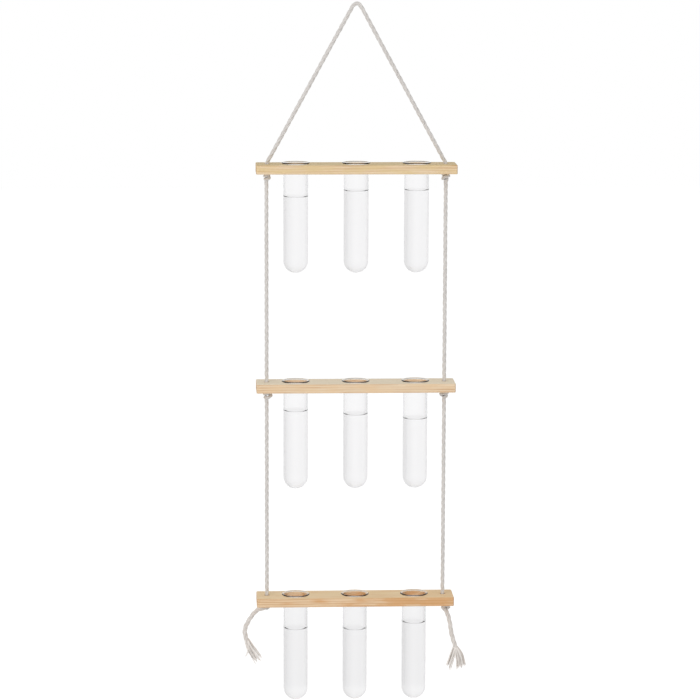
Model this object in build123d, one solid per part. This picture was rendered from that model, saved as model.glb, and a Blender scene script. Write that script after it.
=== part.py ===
"""Hanging propagation vase: wooden shelves on one knotted cotton rope, each holding a row of glass tubes.

The frame's origin is where the rope's loop rests on its hook. +Z is up, +X runs along the shelves to the
right, and the front of the vase faces -Y. All lengths are in millimetres.
"""

import math
import os

from build123d import *

# Shelves, the margin being the wood in front of and behind each tube hole
shelf_length = 201.0
shelf_thickness = 9.2
shelf_margin = 4.7
shelf_edge_round = 0.8
shelf_corner_round = 1.6
hole_edge_ease = 0.3
tier_pitch = 221.0
tier_names = ("top", "middle", "bottom")

# Glass tubes, placed as shares of the distance between a shelf's rope holes
tube_diameter = 25.0
tube_wall = 1.2
tube_length = 112.0
rim_overhang = 1.7
rim_height = 2.0
mouth_round_share = 0.6
tube_place_shares = (-0.337, 0.0, 0.337)
place_names = ("left", "centre", "right")

# Rope, its hook and its stopper knots of two crossed wraps
rope_diameter = 4.0
rope_hole_inset = 10.5
hook_diameter = 4.0
hanger_drop = 157.4
wrap_radius_share = 1.4
wrap_pitch_share = 1.2
wrap_tilt = 16.0
side_names = ("left", "right")

# Free ends of the rope, from the knot's middle to where the strands part, then the tip: across, back and up
tail_routes = {
    "left": [
        (0, 0, 0),
        (-6.8, -1.0, -0.4),
        (-13.6, -1.8, -4.4),
        (-18.4, -2.4, -10.8),
        (-21.9, -2.8, -18.2),
        (-23.4, -3.0, -25.8),
        (-20.9, -3.0, -33.0),
    ],
    "right": [
        (0, 0, 0),
        (4.1, -0.8, -4.6),
        (6.4, -1.6, -11.4),
        (8.1, -2.2, -19.0),
        (8.9, -2.6, -26.2),
        (10.7, -2.8, -33.3),
        (12.7, -3.0, -40.1),
    ],
}
tail_tips = {"left": (-7.5, -3.0, -52.5), "right": (13.8, -3.0, -60.5)}
tail_bend_share = 0.45
tuft_widths = {"left": 11.0, "right": 19.0}
tuft_thickness = 7.0

# Clearances
tube_hole_clearance = 0.3
rope_hole_clearance = 0.6
seat_gap = 0.1
ball_gap = 0.15
knot_hinge_drop = 0.8
cut_overrun = 1.0

# Worked out from the sizes above
rope_radius = rope_diameter / 2
rope_hole_radius = rope_radius + rope_hole_clearance
ball_radius = rope_radius + ball_gap
tube_radius = tube_diameter / 2
tube_hole_radius = tube_radius + tube_hole_clearance
shelf_depth = 2 * (tube_hole_radius + shelf_margin)
shelf_tops = [-hanger_drop - tier_pitch * tier for tier in range(len(tier_names))]
rope_span = shelf_length - 2 * rope_hole_inset
rope_places = [-rope_span / 2, rope_span / 2]
tube_places = [rope_span * share for share in tube_place_shares]
wrap_radius = wrap_radius_share * rope_radius
wrap_pitch = wrap_pitch_share * rope_radius
wrap_rise = rope_radius + wrap_radius * math.sin(math.radians(wrap_tilt))
knot_top = -shelf_thickness - seat_gap
knot_foot = knot_top - 2 * wrap_rise - wrap_pitch
knot_middle = (knot_top + knot_foot) / 2
knot_hinge = knot_foot - knot_hinge_drop


def turned(edges):
    """A solid of revolution about Z. The closed outline has radius across and height up."""
    return revolve(Plane.XZ * make_face(edges), Axis.Z)


def rope_along(path):
    """A round rope along a path."""
    return sweep(Plane(path @ 0, z_dir=path % 0) * Circle(rope_radius), path=path)


def make_shelf(top):
    """A board with softened edges, a row of tube holes and a rope hole near each end."""
    middle = top - shelf_thickness / 2
    board = Pos(0, 0, middle) * Box(shelf_length, shelf_depth, shelf_thickness)
    board = fillet(board.edges().filter_by(Axis.Z), shelf_corner_round)
    board = fillet(board.edges().filter_by(Axis.Z, reverse=True), shelf_edge_round)
    holes = [(x, tube_hole_radius) for x in tube_places] + [(x, rope_hole_radius) for x in rope_places]
    for x, radius in holes:
        board -= Pos(x, 0, middle) * Cylinder(radius, shelf_thickness + cut_overrun)
    mouths = [edge for edge in board.edges().filter_by(GeomType.CIRCLE) if edge.is_closed]
    return chamfer(mouths, hole_edge_ease)


def make_tube(x, top):
    """A test tube with a round bottom, whose flared rim rests on the shelf."""
    bore_radius = tube_radius - tube_wall
    mouth_round = mouth_round_share * tube_wall
    mouth_radius = bore_radius + mouth_round
    bead_radius = rim_height / 2
    bead_centre = tube_radius + rim_overhang - bead_radius
    waist = tube_radius - tube_length
    edges = [
        CenterArc((0, waist), tube_radius, 270, 90),
        Line((tube_radius, waist), (tube_radius, -rim_height)),
        Line((tube_radius, -rim_height), (bead_centre, -rim_height)),
        CenterArc((bead_centre, -bead_radius), bead_radius, 270, 180),
        Line((bead_centre, 0), (mouth_radius, 0)),
        CenterArc((mouth_radius, -mouth_round), mouth_round, 90, 90),
        Line((bore_radius, -mouth_round), (bore_radius, waist)),
        CenterArc((0, waist), bore_radius, 0, -90),
        Line((0, waist - bore_radius), (0, waist - tube_radius)),
    ]
    return Pos(x, 0, top + seat_gap + rim_height) * turned(edges)


def make_hanger():
    """The rope from one end of the top shelf, over the hook, to the other end."""
    foot_x = rope_places[-1]
    foot_z = shelf_tops[0]
    hook_z = -hook_diameter / 2
    bight_radius = hook_diameter / 2 + rope_radius
    reach = math.hypot(foot_x, hook_z - foot_z)
    lean = math.atan2(foot_x, hook_z - foot_z) - math.asin(bight_radius / reach)
    peak = hook_z + bight_radius / math.sin(lean)
    path = FilletPolyline((-foot_x, 0, foot_z), (0, 0, peak), (foot_x, 0, foot_z), radius=bight_radius)
    rope = rope_along(path)
    for x in rope_places:
        rope += Pos(x, 0, foot_z) * Sphere(rope_radius)
    return rope


def make_run(x, high, low):
    """A straight run of rope between two tiers, with a ball at each end where the rope flexes."""
    edges = [
        CenterArc((0, low), rope_radius, 270, 90),
        Line((rope_radius, low), (rope_radius, high)),
        CenterArc((0, high), rope_radius, 0, 90),
        Line((0, high + rope_radius), (0, low - rope_radius)),
    ]
    return Pos(x, 0, 0) * turned(edges)


def make_knot(x, top, hinged_below):
    """The rope inside a shelf's hole and the stopper knot that carries the shelf from below."""
    knot = Pos(0, 0, knot_foot / 2) * Cylinder(rope_radius, -knot_foot)
    for turn in (1, -1):
        wrap = Rot(0, turn * wrap_tilt, 0) * Torus(wrap_radius, rope_radius)
        knot += Pos(0, 0, knot_middle + turn * wrap_pitch / 2) * wrap
    knot -= Sphere(ball_radius)
    if hinged_below:
        knot -= Pos(0, 0, knot_hinge) * Sphere(ball_radius)
    return Pos(x, 0, top) * knot


def bend_radii(points):
    """For each corner of a route, the largest radius that its two runs allow."""
    corners = [Vector(point) for point in points]
    radii = []
    for before, here, after in zip(corners, corners[1:], corners[2:]):
        shorter = min((here - before).length, (after - here).length)
        turn = math.radians((here - before).get_angle(after - here))
        radii.append(tail_bend_share * shorter / math.tan(turn / 2))
    return radii


def make_tail(side, x, knot):
    """A free end of the rope below the bottom shelf, which opens into a frayed tuft."""
    radii = bend_radii(tail_routes[side])
    path = FilletPolyline(*tail_routes[side], radius=radii)
    rope = rope_along(path)
    section = math.pi * rope_radius**2
    print("tail", side, "length", round(path.length, 1), "bend radii", [round(r, 1) for r in radii])
    print("volume", round(rope.volume, 2), "section times length", round(section * path.length, 2))
    end = path @ 1
    tip = Vector(tail_tips[side])
    level = Vector(0, 1, 0)
    start = Plane(end, x_dir=(path % 1).cross(level), z_dir=path % 1)
    spread = Plane(tip, x_dir=(tip - end).cross(level), z_dir=tip - end)
    tuft = loft([start * Circle(rope_radius), spread * Ellipse(tuft_widths[side] / 2, tuft_thickness / 2)])
    outside_knot = Pos(x, 0, shelf_tops[-1] + knot_middle) * (rope + tuft) - knot
    return outside_knot.solids().sort_by(SortBy.VOLUME)[-1]


def make_parts():
    """Every piece of the vase by its node name."""
    parts = {"hanger_rope": make_hanger()}
    for tier, (name, top) in enumerate(zip(tier_names, shelf_tops)):
        last = tier == len(tier_names) - 1
        parts[f"{name}_shelf"] = make_shelf(top)
        for side, x in zip(side_names, rope_places):
            if tier > 0:
                parts[f"rope_{name}_{side}"] = make_run(x, shelf_tops[tier - 1] + knot_hinge, top)
            knot = make_knot(x, top, hinged_below=not last)
            parts[f"knot_{name}_{side}"] = knot
            if last:
                parts[f"tail_{side}"] = make_tail(side, x, knot)
        for place, x in zip(place_names, tube_places):
            parts[f"tube_{name}_{place}"] = make_tube(x, top)
    return parts


def main():
    os.makedirs("parts", exist_ok=True)
    for node, solid in make_parts().items():
        export_step(solid, f"parts/{node}.step")


main()
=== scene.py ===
"""Looks of the hanging propagation vase: pine boards, glass tubes of water and a twisted cotton rope.

Every length is in metres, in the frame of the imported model: the origin is where the rope's loop rests on its
hook, +Z is up and the front of the vase faces -Y.
"""

import math
import random

import bmesh
import bpy
import numpy as np
from mathutils import Matrix, Vector


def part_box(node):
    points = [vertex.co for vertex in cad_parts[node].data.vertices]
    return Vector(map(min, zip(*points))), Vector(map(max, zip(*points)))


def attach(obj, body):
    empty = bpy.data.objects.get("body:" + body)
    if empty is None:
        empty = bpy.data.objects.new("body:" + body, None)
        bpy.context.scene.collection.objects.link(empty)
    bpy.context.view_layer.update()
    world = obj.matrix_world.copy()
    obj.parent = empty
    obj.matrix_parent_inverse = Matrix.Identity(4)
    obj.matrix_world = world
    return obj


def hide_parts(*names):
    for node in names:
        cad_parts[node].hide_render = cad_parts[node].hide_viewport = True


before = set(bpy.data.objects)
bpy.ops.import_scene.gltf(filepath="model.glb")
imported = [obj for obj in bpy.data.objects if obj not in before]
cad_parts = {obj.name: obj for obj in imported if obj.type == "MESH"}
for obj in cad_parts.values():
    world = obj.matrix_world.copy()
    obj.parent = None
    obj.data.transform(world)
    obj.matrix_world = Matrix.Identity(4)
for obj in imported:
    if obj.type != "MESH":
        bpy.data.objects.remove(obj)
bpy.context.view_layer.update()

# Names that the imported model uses
tiers = ("top", "middle", "bottom")
sides = ("left", "right")
places = ("left", "centre", "right")
rope_bodies = {"middle": "upper_ropes", "bottom": "lower_ropes"}

# Rope: strands laid round each other, each with the ridges of its yarns
rope_diameter = 0.004
strand_count = 3
strand_radius = 0.00118
strand_offset = 0.00082
lay_length = 0.0215
ring_step = 0.0008
yarn_count = 6
sides_per_yarn = 3
yarn_ridge_share = 0.05
strand_swell_share = 0.05
swell_length = 0.031
route_resolution = 24

# Hanger: half its bight's width, its points near the bight and the shelf, and its foot in the shelf's hole
bight_half_width = 0.0027
bight_point_distance = 0.008
hook_point_distance = 0.024
foot_point_distance = 0.005
foot_depth = 0.002

# Knots, as a route from the hole's upper end to the foot: across, back and up from the hole's lower mouth
knot_route = [
    (0.0, 0.0, 0.0078),
    (0.0, 0.0, 0.0040),
    (0.0002, 0.0, 0.0004),
    (0.0026, 0.0006, -0.0014),
    (0.0022, -0.0030, -0.0020),
    (-0.0020, -0.0034, -0.0026),
    (-0.0036, 0.0000, -0.0032),
    (-0.0018, 0.0032, -0.0030),
    (0.0022, 0.0032, -0.0036),
    (0.0037, -0.0004, -0.0052),
    (0.0014, -0.0034, -0.0064),
    (-0.0022, -0.0026, -0.0062),
    (-0.0016, 0.0006, -0.0064),
    (0.0, 0.0004, -0.0078),
    (0.0, 0.0, -0.0105),
]
knot_looks = {
    ("top", "left"): {"turn": -35.0, "width_share": 0.68, "drop_share": 1.0, "shift": 0.0006},
    ("top", "right"): {"turn": 200.0, "width_share": 0.9, "drop_share": 1.0, "shift": 0.0},
    ("middle", "left"): {"turn": -25.0, "width_share": 1.0, "drop_share": 1.0, "shift": 0.0010},
    ("middle", "right"): {"turn": 150.0, "width_share": 1.0, "drop_share": 1.0, "shift": 0.0},
    ("bottom", "left"): {"turn": 20.0, "width_share": 0.6, "drop_share": 0.65, "shift": -0.0004},
    ("bottom", "right"): {"turn": 115.0, "width_share": 0.8, "drop_share": 0.9, "shift": 0.0042},
}
knot_lead_points = 2
knot_foot_points = 2
knot_rope_share = 0.9

# Free ends of the rope, from the knot's middle to where the strands part: across, back and up
knot_middle = -0.01327
tail_routes = {
    "left": [
        (0.0, 0.0, 0.0),
        (-0.0068, -0.0010, -0.0004),
        (-0.0124, -0.0018, -0.0038),
        (-0.0172, -0.0024, -0.0102),
        (-0.0219, -0.0028, -0.0182),
        (-0.0234, -0.0030, -0.0258),
        (-0.0209, -0.0030, -0.0330),
    ],
    "right": [
        (0.0, 0.0, 0.0),
        (0.0041, -0.0008, -0.0046),
        (0.0064, -0.0016, -0.0114),
        (0.0081, -0.0022, -0.0190),
        (0.0089, -0.0026, -0.0262),
        (0.0107, -0.0028, -0.0333),
        (0.0137, -0.0030, -0.0428),
    ],
}
tail_rope_share = 1.2
tail_opening_share = 0.12
opening_power = 4

# Frayed ends: each clump's bend and tip from the knot's middle, half its width and depth at the tip, how far
# back in the rope it starts and how wide there, its locks and the yarns in each, the share by which the
# locks' lengths differ, and its seed
fray_clumps = {
    "left": [
        {
            "name": "fray_left",
            "bend": (-0.0188, -0.0030, -0.0407),
            "tip": (-0.0064, -0.0030, -0.0586),
            "spread": (0.0050, 0.0024),
            "root_back": 0.0008,
            "root_share": 0.44,
            "locks": 15,
            "yarns": 6,
            "trim_share": 0.2,
            "seed": 17,
        },
        {
            "name": "fray_left_stray",
            "bend": (-0.0166, -0.0052, -0.0432),
            "tip": (-0.0244, -0.0052, -0.0516),
            "spread": (0.0005, 0.0005),
            "root_back": 0.0030,
            "root_share": 0.2,
            "locks": 1,
            "yarns": 4,
            "trim_share": 0.1,
            "seed": 5,
        },
    ],
    "right": [
        {
            "name": "fray_right_thin",
            "bend": (0.0095, -0.0030, -0.0544),
            "tip": (0.0058, -0.0030, -0.0668),
            "spread": (0.0032, 0.0018),
            "root_back": 0.0020,
            "root_share": 0.3,
            "locks": 7,
            "yarns": 5,
            "trim_share": 0.2,
            "seed": 8,
        },
        {
            "name": "fray_right_full",
            "bend": (0.0187, -0.0030, -0.0510),
            "tip": (0.0190, -0.0030, -0.0662),
            "spread": (0.0052, 0.0026),
            "root_back": 0.0006,
            "root_share": 0.40,
            "locks": 15,
            "yarns": 6,
            "trim_share": 0.14,
            "seed": 13,
        },
    ],
}
golden_angle = math.pi * (3 - math.sqrt(5))
fray_yarn_radius = 0.00038
fray_tip_share = 0.5
fray_rings = 16
fray_sides = 5
fray_wave = 0.0004
fray_wave_counts = (0.8, 2.2)
lock_radius = 0.0008
lock_root_share = 0.5
lock_trim_share = 0.12
# Every so many locks, one takes the darker fray cotton as painted shade
shaded_lock_step = 4

# Glass tubes, turned from an outline whose heights are taken from the rim's top
tube_radius = 0.0125
tube_wall = 0.0012
rim_radius = 0.0142
lip_drop = 0.0005
lip_steps = 10
turned_steps = 96
arc_steps = 20
wall_steps = 14
crease_angle = math.radians(50)

# Water levels below each shelf's underside, and the water's climb at the glass
water_levels = {
    "top": (0.0237, 0.0177, 0.0172),
    "middle": (0.0202, 0.0240, 0.0286),
    "bottom": (0.0252, 0.0260, 0.0197),
}
water_overlap = 0.00003
meniscus_height = 0.0011
meniscus_width = 0.0020
meniscus_steps = 8
meniscus_power = 4

# Noise in the materials, and the depth of the grain that it raises
coarse_detail = 2.0
fine_detail = 3.0
grain_depth = 0.0002

# Pine: growth rings about a pith line beside the board, fine fibres, patches and darker end grain. The scales
# are per metre along the board, across it and up.
ring_spacing = 0.0018
ring_waver = 0.0026
pith_drop = 0.055
pith_back = 0.035
waver_scale = (9.0, 45.0, 45.0)
ring_fade_scale = (16.0, 190.0, 190.0)
fibre_scale = (45.0, 2200.0, 2200.0)
patch_scale = (34.0, 170.0, 170.0)
ring_shares = ((0.0, 0.05), (0.4, 0.2), (0.8, 1.0), (0.92, 0.6), (1.0, 0.05))
ring_fade_shares = ((0.3, 0.15), (0.66, 1.0))
fibre_line_shares = ((0.35, 0.0), (0.75, 1.0))
patch_edge_shares = ((0.42, 0.0), (0.62, 1.0))
# How far a face that looks up takes its board's painted light and shade, by how straight up it faces
painted_upper_facing_shares = ((0.5, 0.0), (0.95, 1.0))
end_facing_shares = ((0.55, 0.0), (0.9, 0.8))
end_grain_shares = (0.72, 0.62, 0.52, 1.0)
fibre_share = 0.3
patch_share = 0.7
ring_relief_share = 0.35
pine_roughness = 0.5
fibre_roughness = 0.2

# Pine tones of each board, as seen on screen: spring wood, summer wood, its patches and the painted light and
# shade of its upper face, how much of the last shows, and how much more of its patches there is per metre to
# the right
pine_tones = {
    "top": {
        "early": (247, 224, 190),
        "late": (205, 160, 108),
        "patch": (232, 206, 154),
        "upper": (214, 193, 144),
        "painted_upper_share": 0.7,
        "patch_lean": 0.0,
    },
    "middle": {
        "early": (247, 226, 196),
        "late": (212, 166, 118),
        "patch": (240, 208, 168),
        "upper": (244, 235, 212),
        "painted_upper_share": 0.7,
        "patch_lean": 0.0,
    },
    "bottom": {
        "early": (248, 220, 184),
        "late": (204, 152, 98),
        "patch": (220, 164, 106),
        "upper": (252, 228, 182),
        "painted_upper_share": 0.55,
        "patch_lean": 1.6,
    },
}

# Cotton: its fibres and patches, with scales per metre across, back and up, and its light and dark tones as
# seen on screen. The fray's cotton is painted lighter than the rope's, to stand in for light where its yarns
# shade each other, and its darker copy is painted shade for the gaps between locks.
cotton_fibre_scale = (2400.0, 2400.0, 600.0)
cotton_fibre_bend = 0.4
cotton_fibre_share = 0.6
cotton_patch_scale = (160.0, 160.0, 90.0)
cotton_patch_share = 0.4
cotton_shade_shares = ((0.32, 0.0), (0.68, 1.0))
cotton_tones = {
    "cotton": ((231, 227, 223), (211, 206, 202)),
    "cotton_tail": ((238, 233, 228), (217, 209, 202)),
    "cotton_fray_painted_light": ((254, 250, 246), (246, 239, 233)),
    "cotton_fray_painted_shade": ((243, 237, 231), (229, 220, 212)),
}

# Clear materials: how they bend light, their tint and how dense it is
clear_looks = {
    "glass": {"ior": 1.35, "tint": (0.62, 0.60, 0.64, 1), "density": 62.0},
    "water": {"ior": 1.17, "tint": (0.70, 0.69, 0.71, 1), "density": 3.0},
}

# Surfaces that light may cross, enough for a row of tubes of water seen one behind the other
clear_surfaces = 32

# Camera, with the focal length in pixels of the 700 pixel frame and the sensor in millimetres
view_azimuth = -2.95
view_elevation = 8.98
view_roll = 0.18
view_distance = 3.0
view_aim = (-0.0057, 0.0, -0.3462)
focal_pixels = 2968.0
frame_pixels = 700.0
sensor_width = 36.0

# Stage: the floor, the light from all round, and the lamps
floor_height = -0.80
floor_half_size = 6.0
floor_colour = (0.9, 0.9, 0.9, 1)
floor_glow = 0.46
white = (1, 1, 1, 1)
soft_strength = 0.62
lamps = {
    "key_lamp": {"place": (-1.6, -2.2, 0.9), "size": 1.6, "power": 26.0},
    "fill_lamp": {"place": (2.2, -1.8, 0.3), "size": 1.6, "power": 4.0},
}

# Brightness that glass finds in each direction, by shares of the way from left to right and from below up
side_level_shares = (
    (0.0, 0.86),
    (0.08, 0.80),
    (0.153, 0.77),
    (0.267, 0.85),
    (0.318, 0.90),
    (0.358, 0.97),
    (0.39, 1.0),
    (0.546, 1.0),
    (0.572, 0.98),
    (0.60, 0.945),
    (0.67, 0.87),
    (0.745, 0.82),
    (0.84, 0.78),
    (0.92, 0.80),
    (1.0, 0.86),
)
height_level_shares = (
    (0.0, 0.5),
    (0.1, 0.82),
    (0.25, 0.94),
    (0.37, 0.94),
    (0.41, 1.0),
    (0.55, 1.0),
    (0.68, 0.93),
    (0.78, 0.8),
    (1.0, 0.6),
)


def srgb(red, green, blue):
    """A colour given as it looks on screen, in steps of 255, as the linear colour that shaders take."""
    shares = [value / 255 for value in (red, green, blue)]
    return (*[s / 12.92 if s <= 0.04045 else ((s + 0.055) / 1.055) ** 2.4 for s in shares], 1)


def add_node(tree, kind, inputs=None, **settings):
    """A shader node with its settings and inputs. An input that is a socket is linked."""
    made = tree.nodes.new(kind)
    for name, value in settings.items():
        setattr(made, name, value)
    for name, value in (inputs or {}).items():
        if isinstance(value, bpy.types.NodeSocket):
            tree.links.new(value, made.inputs[name])
        else:
            made.inputs[name].default_value = value
    return made


def new_material(name):
    """An empty node material and its output node."""
    material = bpy.data.materials.new(name)
    material.use_nodes = True
    material.node_tree.nodes.clear()
    return material, material.node_tree, add_node(material.node_tree, "ShaderNodeOutputMaterial")


def new_piece(name, vertices, faces, material):
    """A smooth mesh object with one material."""
    mesh = bpy.data.meshes.new(name)
    mesh.from_pydata(vertices, [], faces)
    shape = bmesh.new()
    shape.from_mesh(mesh)
    bmesh.ops.recalc_face_normals(shape, faces=shape.faces)
    shape.to_mesh(mesh)
    shape.free()
    mesh.shade_smooth()
    mesh.set_sharp_from_angle(angle=crease_angle)
    mesh.materials.append(material)
    piece = bpy.data.objects.new(name, mesh)
    bpy.context.scene.collection.objects.link(piece)
    return piece


def math_node(tree, operation, first, second=0.0):
    """The result of one arithmetic step."""
    return add_node(tree, "ShaderNodeMath", {0: first, 1: second}, operation=operation).outputs[0]


def mix_colours(tree, factor, first, second, blend="MIX"):
    """Two colours mixed by a factor. The node has sockets for other kinds too, so its colours are 6 and 7."""
    colours = {0: factor, 6: first, 7: second}
    return add_node(tree, "ShaderNodeMix", colours, data_type="RGBA", blend_type=blend).outputs[2]


def stretched_noise(tree, coordinates, scale, detail=coarse_detail, distortion=0.0):
    """Noise with its own scale along each axis, per metre."""
    mapping = add_node(tree, "ShaderNodeMapping", {"Vector": coordinates, "Scale": scale})
    settings = {"Vector": mapping.outputs[0], "Scale": 1.0, "Detail": detail, "Distortion": distortion}
    return add_node(tree, "ShaderNodeTexNoise", settings).outputs["Fac"]


def ramp(tree, value, stops):
    """A value sent through stops of (position, level)."""
    node = add_node(tree, "ShaderNodeValToRGB", {"Fac": value})
    elements = node.color_ramp.elements
    for position, _ in stops[1:-1]:
        elements.new(position)
    for element, (position, level) in zip(elements, stops):
        element.position = position
        element.color = (level, level, level, 1)
    return node.outputs["Color"]


def grown_rings(tree, place, axes, board_height):
    """Growth rings round the pith line, which waver along the board."""
    across = math_node(tree, "SUBTRACT", axes.outputs["Y"], pith_back)
    above = math_node(tree, "SUBTRACT", axes.outputs["Z"], board_height - pith_drop)
    squares = [math_node(tree, "POWER", distance, 2.0) for distance in (across, above)]
    radius = math_node(tree, "SQRT", math_node(tree, "ADD", *squares))
    waver = math_node(tree, "MULTIPLY", stretched_noise(tree, place, waver_scale), ring_waver)
    count = math_node(tree, "DIVIDE", math_node(tree, "ADD", radius, waver), ring_spacing)
    return ramp(tree, math_node(tree, "FRACT", count), ring_shares)


def make_pine(name, tones, board_height):
    """Planed pine sawn along X, with its growth rings seen as lines on its sides and as arcs on its ends."""
    material, tree, output = new_material(name)
    place = add_node(tree, "ShaderNodeTexCoord").outputs["Object"]
    axes = add_node(tree, "ShaderNodeSeparateXYZ", {0: place})
    normal = add_node(tree, "ShaderNodeNewGeometry").outputs["Normal"]
    facing = add_node(tree, "ShaderNodeSeparateXYZ", {0: normal})
    early, late, patch, upper = [srgb(*tones[tone]) for tone in ("early", "late", "patch", "upper")]
    rings = grown_rings(tree, place, axes, board_height)
    fibres = stretched_noise(tree, place, fibre_scale)

    ring_fade = ramp(tree, stretched_noise(tree, place, ring_fade_scale, fine_detail), ring_fade_shares)
    base = mix_colours(tree, math_node(tree, "MULTIPLY", rings, ring_fade), early, late)
    fibre_lines = math_node(tree, "MULTIPLY", ramp(tree, fibres, fibre_line_shares), fibre_share)
    base = mix_colours(tree, fibre_lines, base, late)
    lean = math_node(tree, "MULTIPLY", axes.outputs["X"], tones["patch_lean"])
    patch_noise = math_node(tree, "ADD", stretched_noise(tree, place, patch_scale), lean)
    patches = math_node(tree, "MULTIPLY", ramp(tree, patch_noise, patch_edge_shares), patch_share)
    base = mix_colours(tree, patches, base, patch)
    # Painted light and shade: the upper face is tinted lighter or darker than the sides, as light fell on it
    painted_upper_mask = ramp(tree, facing.outputs["Z"], painted_upper_facing_shares)
    base = mix_colours(tree, math_node(tree, "MULTIPLY", painted_upper_mask, tones["painted_upper_share"]), base, upper)
    end_grain = ramp(tree, math_node(tree, "ABSOLUTE", facing.outputs["X"]), end_facing_shares)
    base = mix_colours(tree, end_grain, base, end_grain_shares, "MULTIPLY")

    relief = math_node(tree, "ADD", math_node(tree, "MULTIPLY", rings, ring_relief_share), fibres)
    bump = add_node(tree, "ShaderNodeBump", {"Height": relief, "Strength": 0.35, "Distance": grain_depth})
    gloss = math_node(tree, "ADD", math_node(tree, "MULTIPLY", fibres, fibre_roughness), pine_roughness)
    surface = {
        "Base Color": base,
        "Roughness": gloss,
        "Specular IOR Level": 0.3,
        "Normal": bump.outputs[0],
    }
    shader = add_node(tree, "ShaderNodeBsdfPrincipled", surface)
    tree.links.new(shader.outputs[0], output.inputs["Surface"])
    return material


def make_cotton(name):
    """Soft twisted cotton with uneven fibres and a faint sheen."""
    material, tree, output = new_material(name)
    light, dark = [srgb(*tone) for tone in cotton_tones[name]]
    place = add_node(tree, "ShaderNodeTexCoord").outputs["Object"]
    fibres = stretched_noise(tree, place, cotton_fibre_scale, fine_detail, cotton_fibre_bend)
    patches = stretched_noise(tree, place, cotton_patch_scale)
    fibre_shade = math_node(tree, "MULTIPLY", fibres, cotton_fibre_share)
    patch_shade = math_node(tree, "MULTIPLY", patches, cotton_patch_share)
    shade = ramp(tree, math_node(tree, "ADD", fibre_shade, patch_shade), cotton_shade_shares)
    bump = add_node(tree, "ShaderNodeBump", {"Height": fibres, "Strength": 0.6, "Distance": grain_depth})
    surface = {
        "Base Color": mix_colours(tree, shade, dark, light),
        "Roughness": 0.92,
        "Specular IOR Level": 0.15,
        "Sheen Weight": 0.25,
        "Sheen Roughness": 0.6,
        "Normal": bump.outputs[0],
    }
    shader = add_node(tree, "ShaderNodeBsdfPrincipled", surface)
    tree.links.new(shader.outputs[0], output.inputs["Surface"])
    return material


def make_clear(name, ior, tint, density):
    """A clear solid, such as glass or water, that takes on a tint through its thickness."""
    material, tree, output = new_material(name)
    surface = {
        "Base Color": white,
        "Roughness": 0.0,
        "IOR": ior,
        "Transmission Weight": 1.0,
    }
    shader = add_node(tree, "ShaderNodeBsdfPrincipled", surface)
    depth = add_node(tree, "ShaderNodeVolumeAbsorption", {"Color": tint, "Density": density})
    tree.links.new(shader.outputs[0], output.inputs["Surface"])
    tree.links.new(depth.outputs[0], output.inputs["Volume"])
    return material


def spline_points(route):
    """Points along the smooth line that has a route as its control points."""
    curve = bpy.data.curves.new("route", "CURVE")
    curve.dimensions = "3D"
    curve.resolution_u = route_resolution
    spline = curve.splines.new("NURBS")
    spline.points.add(len(route) - 1)
    for point, place in zip(spline.points, route):
        point.co = (*place, 1)
    spline.order_u = 3
    spline.use_endpoint_u = True
    guide = bpy.data.objects.new("route", curve)
    mesh = bpy.data.meshes.new_from_object(guide)
    points = [vertex.co.copy() for vertex in mesh.vertices]
    bpy.data.objects.remove(guide)
    bpy.data.curves.remove(curve)
    bpy.data.meshes.remove(mesh)
    return points


def travelled(points):
    """How far along a line each of its points is."""
    steps = [(after - before).length for before, after in zip(points, points[1:])]
    return np.concatenate(([0.0], np.cumsum(steps)))


def even_points(points, step):
    """The same line with its points an even step apart."""
    along = travelled(points)
    marks = np.linspace(0, along[-1], max(2, round(along[-1] / step) + 1))
    columns = [np.interp(marks, along, [point[axis] for point in points]) for axis in range(3)]
    return [Vector(place) for place in zip(*columns)]


def frames_along(points):
    """Two directions square to a line at each of its points, which turn no more than the line does."""
    ahead = [points[min(i + 1, len(points) - 1)] - points[max(i - 1, 0)] for i in range(len(points))]
    across = ahead[0].orthogonal().normalized()
    frames = []
    for direction in ahead:
        tangent = direction.normalized()
        across = (across - tangent * across.dot(tangent)).normalized()
        frames.append((across, tangent.cross(across)))
    return frames


def around(across, up, angle):
    """A direction square to a line, at an angle from across towards up."""
    return across * math.cos(angle) + up * math.sin(angle)


def add_rings(vertices, faces, rings):
    """Joins rings of points into a closed tube and adds it to a mesh's lists."""
    first = len(vertices)
    count = len(rings[0])
    for ring in rings:
        vertices.extend(ring)
    for row in range(len(rings) - 1):
        for side in range(count):
            low = first + row * count
            after = (side + 1) % count
            faces.append((low + side, low + after, low + count + after, low + count + side))
    faces.append(tuple(reversed(range(first, first + count))))
    faces.append(tuple(range(len(vertices) - count, len(vertices))))


def make_rope(name, points, material, body, nodes, size_share=1.0, opening_share=0.0):
    """A laid rope along a line. Towards its end its strands part by a share of their distance."""
    line = even_points(points, ring_step)
    frames = frames_along(line)
    along = travelled(line)
    corners = yarn_count * sides_per_yarn
    vertices = []
    faces = []
    for strand in range(strand_count):
        rings = []
        for place, (across, up), distance in zip(line, frames, along):
            turn = math.tau * (distance / lay_length + strand / strand_count)
            parted = 1 + opening_share * (distance / along[-1]) ** opening_power
            swell = 1 + strand_swell_share * math.sin(math.tau * distance / swell_length + strand)
            centre = place + around(across, up, turn) * strand_offset * size_share * parted
            ring = []
            for corner in range(corners):
                angle = math.tau * corner / corners
                ridge = 1 + yarn_ridge_share * math.cos(angle * yarn_count)
                reach = strand_radius * size_share * swell * ridge
                ring.append(centre + around(across, up, angle) * reach)
            rings.append(ring)
        add_rings(vertices, faces, rings)
    piece = new_piece(name, vertices, faces, material)
    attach(piece, body)
    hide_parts(*nodes)
    return piece


def shelf_top(tier):
    """The height of a shelf's upper face."""
    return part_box(f"{tier}_shelf")[1].z


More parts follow.
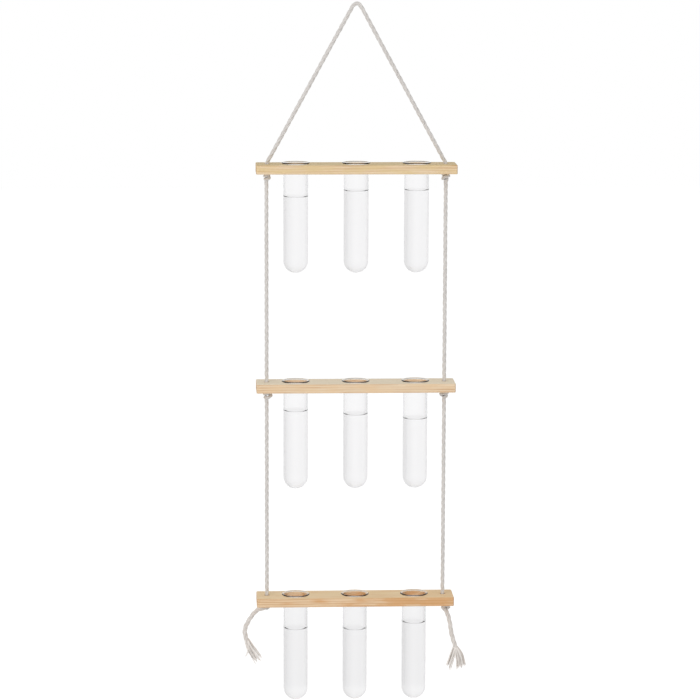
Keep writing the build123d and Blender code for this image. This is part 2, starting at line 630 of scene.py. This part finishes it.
def shelf_foot(tier):
    """The height of a shelf's underside."""
    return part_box(f"{tier}_shelf")[0].z


def middle_x(node):
    """The middle of a node along X."""
    low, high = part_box(node)
    return (low.x + high.x) / 2


def rope_x(side):
    """The place along X of the ropes on one side."""
    return middle_x(f"rope_middle_{side}")


def make_hanger(material):
    """The rope from the top shelf's left hole, over the hook, down to its right hole."""
    mouth = Vector((rope_x("right"), 0, shelf_top("top")))
    corner = Vector((bight_half_width, 0, rope_diameter / 2))
    up_leg = (corner - mouth).normalized()
    half = [
        mouth - Vector((0, 0, foot_depth)),
        mouth,
        mouth + up_leg * foot_point_distance,
        corner - up_leg * hook_point_distance,
        corner - up_leg * bight_point_distance,
        corner,
    ]
    other_half = [Vector((-point.x, point.y, point.z)) for point in half]
    points = spline_points(other_half + half[::-1])
    piece = make_rope("hanger_cord", points, material, "hanger", ["hanger_rope"])


def make_run(tier, side, material):
    """A taut run of rope from the knot of the shelf above into the hole of its own shelf."""
    node = f"rope_{tier}_{side}"
    low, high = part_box(node)
    x = rope_x(side)
    route = [
        Vector((x, 0, high.z)),
        Vector((x, 0, high.z - hook_point_distance)),
        Vector((x, 0, shelf_top(tier) + hook_point_distance)),
        Vector((x, 0, low.z)),
    ]
    points = spline_points(route)
    piece = make_rope(f"run_{tier}_{side}", points, material, rope_bodies[tier], [node])


def make_knot(tier, side, material):
    """A stopper knot under a shelf, with the stretch of rope inside the shelf's hole."""
    looks = knot_looks[tier, side]
    turn = Matrix.Rotation(math.radians(looks["turn"]), 3, "Z")
    sized = Matrix.Diagonal((looks["width_share"], looks["width_share"], looks["drop_share"]))
    mouth = Vector((rope_x(side), 0, shelf_foot(tier)))
    lead = [mouth + Vector(point) for point in knot_route[:knot_lead_points]]
    turns = [mouth + turn @ sized @ Vector(point) for point in knot_route[knot_lead_points:]]
    for point in turns[:-knot_foot_points]:
        point.x += looks["shift"]
    if tier == tiers[-1]:
        turns = turns[:-knot_foot_points]
    points = spline_points(lead + turns)
    nodes = [f"knot_{tier}_{side}"]
    make_rope(f"knot_rope_{tier}_{side}", points, material, f"{tier}_tier", nodes, knot_rope_share)


def disc_place(chance, across, deep):
    """A chance place on a disc of radius 1."""
    angle = chance.uniform(0, math.tau)
    reach = math.sqrt(chance.random())
    return across * math.cos(angle) * reach + deep * math.sin(angle) * reach


def fray_line(start, bend, tip, sway, trim, waves, phase):
    """A loose yarn's middle line, round a bend to where it is trimmed. It sways more towards its end."""
    line = []
    for ring in range(fray_rings):
        share = trim * ring / (fray_rings - 1)
        curve = start * (1 - share) ** 2 + bend * 2 * share * (1 - share) + tip * share**2
        line.append(curve + sway * share * math.sin(math.tau * waves * share + phase))
    return line


def fray_yarn(line):
    """Rings of points round a loose yarn's line. The yarn thins towards its end."""
    angles = [math.tau * corner / fray_sides for corner in range(fray_sides)]
    rings = []
    for ring, (centre, (across, up)) in enumerate(zip(line, frames_along(line))):
        radius = fray_yarn_radius * (1 - (1 - fray_tip_share) * ring / (fray_rings - 1))
        rings.append([centre + around(across, up, angle) * radius for angle in angles])
    return rings


def make_fray(clump, end, ahead, base, node, materials):
    """A clump of loose yarns, in locks, that fan out from a rope's end, round a bend, to a tip."""
    chance = random.Random(clump["seed"])
    root = end - ahead * clump["root_back"]
    bend = base + Vector(clump["bend"])
    tip = base + Vector(clump["tip"])
    deep = Vector((0, 1, 0))
    across = (tip - root).cross(deep).normalized()
    half_width, half_depth = clump["spread"]
    vertices = []
    faces = []
    lock_ends = []
    for lock in range(clump["locks"]):
        lock_reach = math.sqrt((2 * lock + 1) / (2 * clump["locks"]))
        lock_place = around(across, deep, golden_angle * lock) * lock_reach
        lock_fan = across * lock_place.dot(across) * half_width + deep * lock_place.dot(deep) * half_depth
        lock_trim = 1 - clump["trim_share"] * chance.random()
        waves = chance.uniform(*fray_wave_counts)
        phase = chance.uniform(0, math.tau)
        sway = disc_place(chance, across, deep) * fray_wave
        for _ in range(clump["yarns"]):
            yarn_place = disc_place(chance, across, deep)
            start = root + (lock_place + yarn_place * lock_root_share) * rope_diameter * clump["root_share"]
            fan = lock_fan + yarn_place * lock_radius
            trim = lock_trim * (1 - lock_trim_share * chance.random())
            line = fray_line(start, bend + fan, tip + fan, sway, trim, waves, phase)
            add_rings(vertices, faces, fray_yarn(line))
        lock_ends.append(len(faces))
    piece = new_piece(clump["name"], vertices, faces, materials[0])
    piece.data.materials.append(materials[1])
    # Painted shade: every fourth lock takes the darker copy of the fray's cotton, for the shade between locks
    for lock in range(1, clump["locks"], shaded_lock_step):
        for face in piece.data.polygons[lock_ends[lock - 1]:lock_ends[lock]]:
            face.material_index = 1
    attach(piece, "bottom_tier")
    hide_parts(node)
    return piece


def make_tail(side, material, fray_materials):
    """A free end of the rope, with its frayed yarns."""
    base = Vector((rope_x(side), 0, shelf_top("bottom") + knot_middle))
    node = f"tail_{side}"
    points = spline_points([base + Vector(point) for point in tail_routes[side]])
    name = f"tail_cord_{side}"
    piece = make_rope(name, points, material, "bottom_tier", [node], tail_rope_share, tail_opening_share)
    end = points[-1]
    ahead = (end - points[-2]).normalized()
    frays = [make_fray(clump, end, ahead, base, node, fray_materials) for clump in fray_clumps[side]]


def make_ropes():
    """The whole rope: its hanger, its runs, its knots and its free ends."""
    cotton = make_cotton("cotton")
    tail_cotton = make_cotton("cotton_tail")
    fray_cottons = [make_cotton("cotton_fray_painted_light"), make_cotton("cotton_fray_painted_shade")]
    make_hanger(cotton)
    for side in sides:
        for tier in rope_bodies:
            make_run(tier, side, cotton)
        for tier in tiers:
            make_knot(tier, side, cotton)
        make_tail(side, tail_cotton, fray_cottons)


def arc(centre, radius, start, end, steps=arc_steps):
    """Points of an arc in a turned outline, with its angles in degrees from straight out."""
    angles = [math.radians(start + (end - start) * step / steps) for step in range(steps + 1)]
    return [(centre[0] + radius * math.cos(a), centre[1] + radius * math.sin(a)) for a in angles]


def wall(radius, start, end):
    """Points of a straight wall in a turned outline, without its two ends."""
    return [(radius, start + (end - start) * step / wall_steps) for step in range(1, wall_steps)]


def turned_piece(name, outline, x, top, material):
    """An outline of (radius, height) turned about a tube's axis, where both its ends are."""
    vertices = []
    rows = []
    for radius, height in outline:
        if radius == 0:
            rows.append([len(vertices)] * turned_steps)
            vertices.append((x, 0, top + height))
            continue
        rows.append(list(range(len(vertices), len(vertices) + turned_steps)))
        for step in range(turned_steps):
            angle = math.tau * step / turned_steps
            vertices.append((x + radius * math.cos(angle), radius * math.sin(angle), top + height))
    faces = []
    for low, high in zip(rows, rows[1:]):
        for step in range(turned_steps):
            after = (step + 1) % turned_steps
            corners = dict.fromkeys((low[step], low[after], high[after], high[step]))
            faces.append(tuple(corners))
    return new_piece(name, vertices, faces, material)


def tube_outline(length):
    """A test tube's wall, from the outside of its round bottom, over the flared lip, to the inside."""
    bore = tube_radius - tube_wall
    waist = tube_radius - length
    flare_radius = rim_radius - tube_radius - tube_wall / 2
    flare = (tube_radius + flare_radius, -lip_drop - tube_wall - flare_radius)
    outline = arc((0, waist), tube_radius, -90, 0)
    outline[0] = (0.0, waist - tube_radius)
    outline += wall(tube_radius, waist, flare[1])
    outline += arc(flare, flare_radius, 180, 90, lip_steps)
    outline += arc((flare[0], -lip_drop - tube_wall / 2), tube_wall / 2, -90, 90, lip_steps)[1:-1]
    outline += arc(flare, flare_radius + tube_wall, 90, 180, lip_steps)
    outline += wall(bore, flare[1], waist)
    inside = arc((0, waist), bore, 0, -90)
    inside[-1] = (0.0, waist - bore)
    return outline + inside


def let_light_by(piece):
    """Lets light reach what lies behind or under a clear piece, as it does through thin glass."""
    piece.visible_shadow = False
    piece.visible_diffuse = False


def make_tube(tier, place, material):
    """A glass tube, from its lowest point to its rim's top."""
    node = f"tube_{tier}_{place}"
    low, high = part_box(node)
    outline = tube_outline(high.z - low.z)
    piece = turned_piece(f"glass_{tier}_{place}", outline, middle_x(node), high.z, material)
    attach(piece, node)
    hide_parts(node)
    let_light_by(piece)


def make_water(tier, place, depth, material):
    """The water in a tube, which climbs a little where it meets the glass."""
    node = f"tube_{tier}_{place}"
    radius = tube_radius - tube_wall + water_overlap
    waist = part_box(node)[0].z + tube_radius
    level = shelf_foot(tier) - depth
    surface = [(0.0, level), (radius - 2 * meniscus_width, level)]
    for step in range(meniscus_steps + 1):
        share = step / meniscus_steps
        climb = meniscus_height * share**meniscus_power
        surface.append((radius - meniscus_width * (1 - share), level + climb))
    bottom = arc((0, waist), radius, 0, -90)
    bottom[-1] = (0.0, waist - radius)
    outline = surface + wall(radius, level + meniscus_height, waist) + bottom
    piece = turned_piece(f"water_{tier}_{place}", outline, middle_x(node), 0.0, material)
    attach(piece, node)
    let_light_by(piece)


def make_tubes():
    """Every tube with its water."""
    glass, water = [make_clear(name, **look) for name, look in clear_looks.items()]
    for tier in tiers:
        for place, depth in zip(places, water_levels[tier]):
            make_tube(tier, place, glass)
            make_water(tier, place, depth, water)


def dress_boards():
    """Gives each board its own pine, with painted light and shade on its upper face."""
    for tier, tones in pine_tones.items():
        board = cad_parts[f"{tier}_shelf"]
        board.data.materials.clear()
        board.data.materials.append(make_pine(f"pine_{tier}", tones, shelf_top(tier)))


def seen_rays(tree):
    """One for rays that show the background itself, in a gloss or through glass, and zero for others."""
    path = add_node(tree, "ShaderNodeLightPath")
    seen = math_node(tree, "MAXIMUM", path.outputs["Is Camera Ray"], path.outputs["Is Glossy Ray"])
    return math_node(tree, "MAXIMUM", seen, path.outputs["Is Transmission Ray"])


def make_floor():
    """A plain pale floor, white to the camera but for the shadow on it. Glass shows the world instead."""
    material, tree, output = new_material("floor_paper")
    corners = [(-1, -1), (1, -1), (1, 1), (-1, 1)]
    vertices = [(x * floor_half_size, y * floor_half_size, floor_height) for x, y in corners]
    floor = new_piece("floor", vertices, [(0, 1, 2, 3)], material)
    paper = add_node(tree, "ShaderNodeBsdfDiffuse", {"Color": floor_colour})
    level = math_node(tree, "MULTIPLY", seen_rays(tree), floor_glow)
    glow = add_node(tree, "ShaderNodeEmission", {"Strength": level})
    both = add_node(tree, "ShaderNodeAddShader", {0: paper.outputs[0], 1: glow.outputs[0]})
    path = add_node(tree, "ShaderNodeLightPath")
    clear = add_node(tree, "ShaderNodeBsdfTransparent")
    sockets = {0: path.outputs["Is Transmission Ray"], 1: both.outputs[0], 2: clear.outputs[0]}
    shown = add_node(tree, "ShaderNodeMixShader", sockets)
    tree.links.new(shown.outputs[0], output.inputs["Surface"])


def make_world():
    """Even soft light, and a white background that glass shows as greyer to its sides, above and below."""
    world = bpy.data.worlds.new("studio")
    bpy.context.scene.world = world
    world.use_nodes = True
    tree = world.node_tree
    tree.nodes.clear()
    output = add_node(tree, "ShaderNodeOutputWorld")
    soft = add_node(tree, "ShaderNodeBackground", {"Color": white, "Strength": soft_strength})
    direction = add_node(tree, "ShaderNodeTexCoord").outputs["Generated"]
    axes = add_node(tree, "ShaderNodeSeparateXYZ", {0: direction})
    bands = []
    for axis, stops in (("X", side_level_shares), ("Z", height_level_shares)):
        share = add_node(tree, "ShaderNodeMapRange", {"Value": axes.outputs[axis], "From Min": -1.0})
        bands.append(ramp(tree, share.outputs[0], stops))
    band = math_node(tree, "MULTIPLY", *bands)
    path = add_node(tree, "ShaderNodeLightPath")
    level = math_node(tree, "MAXIMUM", band, path.outputs["Is Camera Ray"])
    background = add_node(tree, "ShaderNodeBackground", {"Color": white, "Strength": level})
    sockets = {0: seen_rays(tree), 1: soft.outputs[0], 2: background.outputs[0]}
    shown = add_node(tree, "ShaderNodeMixShader", sockets)
    tree.links.new(shown.outputs[0], output.inputs["Surface"])


def make_lamp(name, place, size, power):
    """A large soft lamp that faces the vase."""
    light = bpy.data.lights.new(name, "AREA")
    light.size = size
    light.energy = power
    lamp = bpy.data.objects.new(name, light)
    lamp.location = place
    lamp.rotation_euler = (Vector(view_aim) - Vector(place)).to_track_quat("-Z", "Y").to_euler()
    lamp.visible_glossy = False
    lamp.visible_transmission = False
    bpy.context.scene.collection.objects.link(lamp)


def make_camera():
    """The photograph's view."""
    azimuth = math.radians(view_azimuth)
    elevation = math.radians(view_elevation)
    level = math.cos(elevation)
    back = Vector((math.sin(azimuth) * level, -math.cos(azimuth) * level, math.sin(elevation)))
    camera = bpy.data.cameras.new("camera")
    camera.sensor_width = sensor_width
    camera.lens = focal_pixels / frame_pixels * sensor_width
    viewer = bpy.data.objects.new("camera", camera)
    viewer.location = Vector(view_aim) + back * view_distance
    viewer.rotation_euler = (-back).to_track_quat("-Z", "Y").to_euler()
    viewer.rotation_euler.rotate_axis("Z", math.radians(view_roll))
    bpy.context.scene.collection.objects.link(viewer)
    bpy.context.scene.camera = viewer


def main():
    """Builds the view, the vase's looks and the stage."""
    make_camera()
    make_ropes()
    make_tubes()
    dress_boards()
    make_floor()
    make_world()
    for name, look in lamps.items():
        make_lamp(name, **look)
    bpy.context.scene.view_settings.view_transform = "Standard"
    bpy.context.scene.cycles.max_bounces = clear_surfaces
    bpy.context.scene.cycles.transmission_bounces = clear_surfaces


main()
